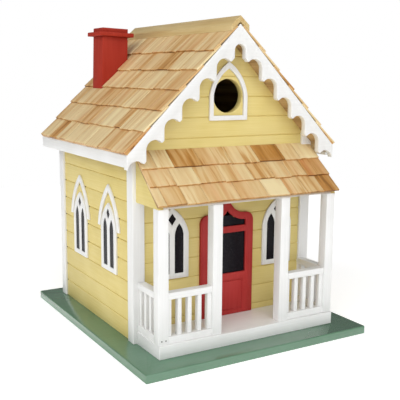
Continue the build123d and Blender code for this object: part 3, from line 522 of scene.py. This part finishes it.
def shingles(node, slope, seed):
    """Courses of separate pine shingles, each cupped, rippled and toned on its own.

    With w from 0 to 1 across a board and t from 0 to 1 down it, a point moves out of the slope by
    cup * (1 - (2w - 1)^2) * t, plus two sines along and across that fade out at the board's edges.
    Down the slope it moves by two sines across the board, which grow as (2t - 1)^2 over the lower half.
    """
    down, along, out = slope_axes(slope)
    shape = merged(node)
    slice_evenly(shape, down, relief_step)
    slice_evenly(shape, along, relief_step)
    bmesh.ops.dissolve_degenerate(shape, dist=shortest_edge, edges=shape.edges)
    mesh = to_mesh(shape, node + "_split")
    place = vertex_places(mesh)
    board = board_numbers(mesh)
    boards = board.max() + 1
    s, w = place @ down, place @ along
    low_s, high_s = spans(s, board, boards)
    low_w, high_w = spans(w, board, boards)
    course = (high_s > (high_s.min() + high_s.max()) / 2) & (np.ptp(high_s) > 0.01)
    order = np.lexsort((low_w, course))
    t = (s - low_s[board]) / (high_s - low_s)[board]
    across = (w - low_w[board]) / (high_w - low_w)[board]
    random = np.random.default_rng(seed)
    draw = random.random((boards, 3))
    phase = 40 * draw[board, 1]
    lift = ((draw[:, 0] - 0.35) * cup_depth)[board] * (1 - (2 * across - 1) ** 2) * t
    ripple = 0.4 * np.sin(s / (7 * mm) + phase) + 0.6 * np.sin(w / (5 * mm) + 2 * phase)
    lift += surface_ripple * ripple * np.sin(pi * t) * np.sin(pi * across)
    wander = 0.7 * np.sin(w / (6 * mm) + phase) + 0.3 * np.sin(w / (2.5 * mm) + 3 * phase)
    slide = butt_ripple * (wander + 2 * draw[board, 2] - 1) * np.clip(2 * t - 1, 0, 1) ** 2
    moved = place + lift[:, None] * out + slide[:, None] * down
    mesh.vertices.foreach_set("co", moved.ravel())
    first = np.empty(len(mesh.polygons), int)
    mesh.polygons.foreach_get("loop_start", first)
    corner = np.empty(len(mesh.loops), int)
    mesh.loops.foreach_get("vertex_index", corner)
    face_board = board[corner[first]]
    normal = np.empty(len(mesh.polygons) * 3)
    mesh.polygons.foreach_get("normal", normal)
    butt = normal.reshape(-1, 3) @ down > 0.7
    numbers = {}
    for kind in ("tone", "blush", "stripe"):
        numbers[kind] = board_looks(kind, node, course, order, random)[face_board]
    numbers["tone"] = numbers["tone"] + end_grain * butt
    grain = np.stack([s, w, place @ out], 1) + 3 * random.random((boards, 3))[board]
    wood_attributes(mesh, grain, **numbers)
    piece = as_piece(node + "_split", mesh, node, shingle_wood)
    ease_edges(piece, edge_shingle)
    return piece


def plain_wood(node, direction, material, width, tone, seed):
    """A single board with eased edges and its grain along one direction."""
    piece = sanded(node, material, width)
    mesh = piece.data
    place = vertex_places(mesh)
    length = np.array(direction)
    side = np.cross(length, (0, 0, 1))
    frame_axes = np.stack([length, side, np.cross(side, length)], 1)
    faces = np.ones(len(mesh.polygons))
    wood_attributes(mesh, place @ frame_axes + seed, tone=tone * faces, blush=0.2 * faces, stripe=0.4 * faces)
    return piece


def loose_parts(node):
    """The low and high corners of each separate part of a CAD node."""
    joined = to_mesh(merged(node), "joined")
    place = vertex_places(joined)
    part = board_numbers(joined)
    corners = [spans(place[:, axis], part, part.max() + 1) for axis in range(3)]
    bpy.data.meshes.remove(joined)
    return np.array(corners).transpose(2, 1, 0)


def turned(name, parts, facing=1, slot_width=0.0, slot_depth=0.0, turns=48):
    """Parts turned on a lathe, each with its axis along Y.

    A part is a centre and a profile of radius r against height h, which starts and ends at r = 0. A point
    of it is x = cx + f r cos a, y = cy + f h, z = cz + r sin a, with f = 1 or -1 for the side it faces.
    A driver slot lowers the points above h = 0 by depth * exp(-(r sin(a + turn) / half width)^8).
    """
    angle = np.linspace(0, 2 * pi, turns, endpoint=False)
    verts, faces = [], []
    for number, (centre, radius, height) in enumerate(parts):
        r = radius[1:-1, None] * np.ones(turns)
        h = height[1:-1, None] * np.ones(turns)
        if slot_width:
            offset = r * np.sin(angle + 0.7 + 1.9 * number)
            h = h - slot_depth * np.exp(-((2 * offset / slot_width) ** 8)) * (h > 1e-6)
        x = centre[0] + facing * r * np.cos(angle)
        z = centre[2] + r * np.sin(angle)
        ring = np.stack([x, centre[1] + facing * h, z], 2).reshape(-1, 3)
        ends = [height[0], height[-1] - slot_depth * bool(slot_width)]
        poles = [(centre[0], centre[1] + facing * end, centre[2]) for end in ends]
        start = sum(len(block) for block in verts)
        rings = len(radius) - 2
        grid = start + np.arange(rings * turns).reshape(rings, turns)
        after = np.roll(grid, -1, axis=1)
        faces += np.stack([grid[:-1], grid[1:], after[1:], after[:-1]], 2).reshape(-1, 4).tolist()
        low, high = start + rings * turns, start + rings * turns + 1
        faces += [(low, a, b) for a, b in zip(grid[0].tolist(), after[0].tolist())]
        faces += [(high, b, a) for a, b in zip(grid[-1].tolist(), after[-1].tolist())]
        verts += [ring, np.array(poles)]
    mesh = bpy.data.meshes.new(name)
    mesh.from_pydata(np.concatenate(verts).tolist(), [], faces)
    mesh.update()
    mesh.shade_smooth()
    mesh.set_sharp_from_angle(angle=radians(40))
    return mesh


def domed(radius, head, shank, tip):
    """A round-headed screw's profile, from its tip over the shank to the top of the head.

    The head is a quarter of an ellipse: r = radius * cos s and h = head * sin s, for s from 0 to pi / 2.
    """
    sweep = np.linspace(0, pi / 2, 14)
    r = np.concatenate([(0, shank, shank), radius * np.cos(sweep[:-1]), (0,)])
    h = np.concatenate([(tip, tip, 0), head * np.sin(sweep[:-1]) + 2e-6, (head,)])
    return r, h


def screws(node, head, shank, slot_width):
    """Slotted round-headed screws in place of a node's plain ones, at the same places.

    A head's height, its shank's radius and its driver slot's width come from the settings, and the head's
    radius and the shank's length from the plain screw.
    """
    parts = []
    for low, high in loose_parts(node):
        centre = ((low[0] + high[0]) / 2, high[1] - head, (low[2] + high[2]) / 2)
        parts.append((centre, *domed((high[0] - low[0]) / 2, head, shank, low[1] - centre[1])))
    mesh = turned(node + "_slotted", parts, slot_width=slot_width, slot_depth=head * 0.5)
    return as_piece(node + "_slotted", mesh, node, zinc)


def knob():
    """The clean-out door's wooden knob, turned to a ball on a waisted neck."""
    low, high = loose_parts("cleanout_knob")[0]
    centre = ((low[0] + high[0]) / 2, high[1] - knob_out, (low[2] + high[2]) / 2)
    profile = (centre, np.array(knob_radius) * mm, np.array(knob_height) * mm)
    mesh = turned("cleanout_knob_turned", [profile])
    piece = as_piece("cleanout_knob_turned", mesh, "cleanout_knob", paints["white_y"])
    smooth = piece.modifiers.new("turned", "SUBSURF")
    smooth.levels = smooth.render_levels = 1
    return piece


def post_brads():
    """Two brad heads that stand a hair proud of the left outer porch post's foot."""
    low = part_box("porch_post_outer_left")[0]
    r, h = domed(brad_radius, 0.3 * mm, 0.35 * mm, -5 * mm)
    parts = [((low[0] + step, low[1], low[2] + brad_rise), r, h) for step in brad_steps]
    mesh = turned("post_brads", parts, facing=-1, turns=24)
    riding("post_brads", mesh, "porch_post_outer_left", dull_steel)


def joint_specks():
    """Dark specks where the left wall's siding joints end, at the rear post and before its windows: painted
    shade in the open groove ends, on bare wood.

    At a height h over its foot a hood is line + fullness * (bow - line) wide on one side of its middle,
    with line = w (1 - h / H) and bow = sqrt(R^2 - h^2) - (R - w), where w is the hood's half width, H its
    height and R = (w^2 + H^2) / 2w. The specks are turned about Y, and then the axes change places, so
    that each one's axis lies along X.
    """
    base_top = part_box("base_board")[1][2]
    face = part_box("side_wall_left")[0][0]
    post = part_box("corner_post_rear_left")[0][1]
    joints = base_top + joint_first + joint_pitch * np.arange(joints_with_specks)
    spots = [(post - speck_radius, z) for z in joints]
    hoods = [box for box in loose_parts("window_hoods") if box[1][0] < 0]
    frames = loose_parts("window_frames_left")
    for low, high in hoods:
        middle, w, tall = (low[1] + high[1]) / 2, (high[1] - low[1]) / 2, high[2] - low[2]
        bow_radius = (w * w + tall * tall) / (2 * w)
        h = joints[(joints > low[2]) & (joints < high[2])] - low[2]
        line = w * (1 - h / tall)
        bow = np.sqrt(bow_radius ** 2 - h ** 2) - (bow_radius - w)
        side = line + hood_fullness * (bow - line)
        spots += [(middle - y - 0.5 * mm, low[2] + z) for y, z in zip(side, h)]
        sill = min(box[0][2] for box in frames)
        edge = max(box[0][1] for box in frames if box[0][1] < middle)
        spots += [(edge - 0.5 * mm, z) for z in joints[(joints > sill) & (joints < low[2])]]
    r, h = domed(speck_radius, 0.12 * mm, 0.4 * mm, -1.0 * mm)
    parts = [((z, face + 0.04 * mm, y), r, h) for y, z in spots]
    mesh = turned("joint_specks", parts, facing=-1, turns=16)
    axis_to_x = Matrix(((0, 1, 0, 0), (0, 0, 1, 0), (1, 0, 0, 0), (0, 0, 0, 1)))
    mesh.transform(axis_to_x)
    # Each speck is a dark disc of painted shade, standing in for the open groove end under the trim.
    riding("joint_specks", mesh, "side_wall_left", bare_and_shaded_speck)


# ---------------------------------------------------------------- the pieces

yellow_boards = {"front_wall": "x", "rear_wall": "x", "side_wall_left": "y", "side_wall_right": "y"}
yellow_boards.update({"porch_cheek_left": "y", "porch_cheek_right": "y", "cleanout_door": "x"})
for node, axis in yellow_boards.items():
    sanded(node, paints["yellow_" + axis], edge_siding)

white_posts = ["corner_post_" + place for place in ("front_left", "front_right", "rear_left", "rear_right")]
white_posts += ["porch_post_" + place for place in ("inner_left", "inner_right", "outer_left", "outer_right")]
for node in white_posts:
    sanded(node, paints["white_z"], edge_post)

white_along = {"porch_deck": "x", "porch_header": "x", "front_railing_left": "x", "front_railing_right": "x"}
white_along.update({"side_railing_left": "y", "side_railing_right": "y", "eave_fascia_left": "y"})
white_along.update({"eave_fascia_right": "y", "bargeboard_front": "x", "entrance_trim": "z"})
white_along.update({"window_frames_front": "z", "window_frames_left": "z", "window_frames_right": "z"})
white_along.update({"window_hoods": "z", "turn_button": "z"})
for node, axis in white_along.items():
    sanded(node, paints["white_" + axis], edge_trim)

sanded("base_board", paints["green"], edge_base)
sanded("front_door", paints["red_door"], edge_trim)
for node in ("chimney_shaft", "chimney_collar", "chimney_cap"):
    sanded(node, paints["red_chimney"], edge_board)
for node in ("roof_panel_left", "roof_panel_right", "porch_roof_panel", "door_stop_battens"):
    sanded(node, plywood, edge_panel)
knob()
post_brads()
joint_specks()
screws("hinge_screws_wall", *hinge_screw)
screws("hinge_screws_door", *hinge_screw)
screws("turn_button_screw", *button_screw)
for node in ("hinge_leaves_fixed", "hinge_leaves_moving", "hinge_pins"):
    sanded(node, brass, edge_metal)

for seed, part in enumerate(("upper", "middle", "lower")):
    shingles("shingles_left_" + part, "left", seed + 11)
    shingles("shingles_right_" + part, "right", seed + 21)
for number in (1, 2, 3):
    shingles("porch_shingles_" + str(number), "porch", number + 30)
plain_wood("ridge_cap_left", (0, 1, 0), ridge_wood, edge_board, 0.2, 0.3)
plain_wood("ridge_cap_right", (0, 1, 0), ridge_wood, edge_board, 0.3, 1.7)
plain_wood("starter_strips", (0, 1, 0), shingle_wood, edge_shingle, 0.55, 2.3)
for node in ("window_glass", "door_glass"):
    mesh = frame["nodes"][node].data
    mesh.materials.clear()
    mesh.materials.append(dark_pane)


# ---------------------------------------------------------------- stage, light and camera

def studio():
    """A white floor that fades into a white surround, brighter in front than behind, and soft lamps."""
    bpy.ops.mesh.primitive_circle_add(vertices=96, radius=floor_radius, fill_type="NGON")
    floor = bpy.context.object
    floor.name = "floor"
    material, tree, shader = new_material("matt_white_floor")
    place = add(tree, "ShaderNodeTexCoord").outputs["Object"]
    away = add(tree, "ShaderNodeVectorMath", {0: place}, operation="LENGTH").outputs["Value"]
    glow = add(tree, "ShaderNodeMapRange", {0: away, 1: 0.25, 2: 0.8, 3: floor_glow, 4: floor_far_glow})
    fill(tree, shader, {"Base Color": (0.93, 0.93, 0.93, 1), "Roughness": 1.0, "Specular IOR Level": 0.0})
    fill(tree, shader, {"Emission Color": (1, 1, 1, 1), "Emission Strength": glow})
    floor.data.materials.append(material)
    world = bpy.data.worlds.new("white_studio")
    world.use_nodes = True
    tree = world.node_tree
    tree.nodes.clear()
    toward = add(tree, "ShaderNodeTexCoord").outputs["Generated"]
    depth = add(tree, "ShaderNodeSeparateXYZ", {0: toward}).outputs["Y"]
    around = {0: depth, 1: -0.6, 2: 0.7, 3: surround_front, 4: surround_back}
    around = add(tree, "ShaderNodeMapRange", around)
    seen = add(tree, "ShaderNodeLightPath").outputs["Is Camera Ray"]
    strength = add(tree, "ShaderNodeMix", {0: seen, 2: around, 3: 1.0})
    surround = add(tree, "ShaderNodeBackground", {"Color": (1, 1, 1, 1), "Strength": strength})
    add(tree, "ShaderNodeOutputWorld", {"Surface": surround})
    bpy.context.scene.world = world
    for name, place, size, power in lamps:
        lamp = bpy.data.lights.new(name, "AREA")
        lamp.size = size
        lamp.energy = power
        holder = bpy.data.objects.new(name, lamp)
        bpy.context.scene.collection.objects.link(holder)
        aim = Vector((0, 0, 0.15)) - Vector(place)
        holder.location = place
        holder.rotation_mode = "QUATERNION"
        holder.rotation_quaternion = aim.to_track_quat("-Z", "Y")


def viewpoint():
    """A camera a little above the porch, from the front left."""
    azimuth, elevation, roll = map(radians, (camera_azimuth, camera_elevation, camera_roll))
    back = Vector((sin(azimuth) * cos(elevation), -cos(azimuth) * cos(elevation), sin(elevation)))
    right = Vector((cos(azimuth), sin(azimuth), 0))
    up = back.cross(right)
    turned_right = right * cos(roll) + up * sin(roll)
    turned_up = up * cos(roll) - right * sin(roll)
    camera = bpy.data.objects.new("camera", bpy.data.cameras.new("camera"))
    camera.data.sensor_width = 36
    camera.data.lens = camera_lens
    camera.data.clip_start = 0.05
    placing = Matrix((turned_right, turned_up, back)).transposed().to_4x4()
    placing.translation = Vector(camera_target) + back * camera_distance
    camera.matrix_world = placing
    bpy.context.scene.collection.objects.link(camera)
    bpy.context.scene.camera = camera


studio()
viewpoint()
bpy.context.scene.view_settings.view_transform = "Standard"
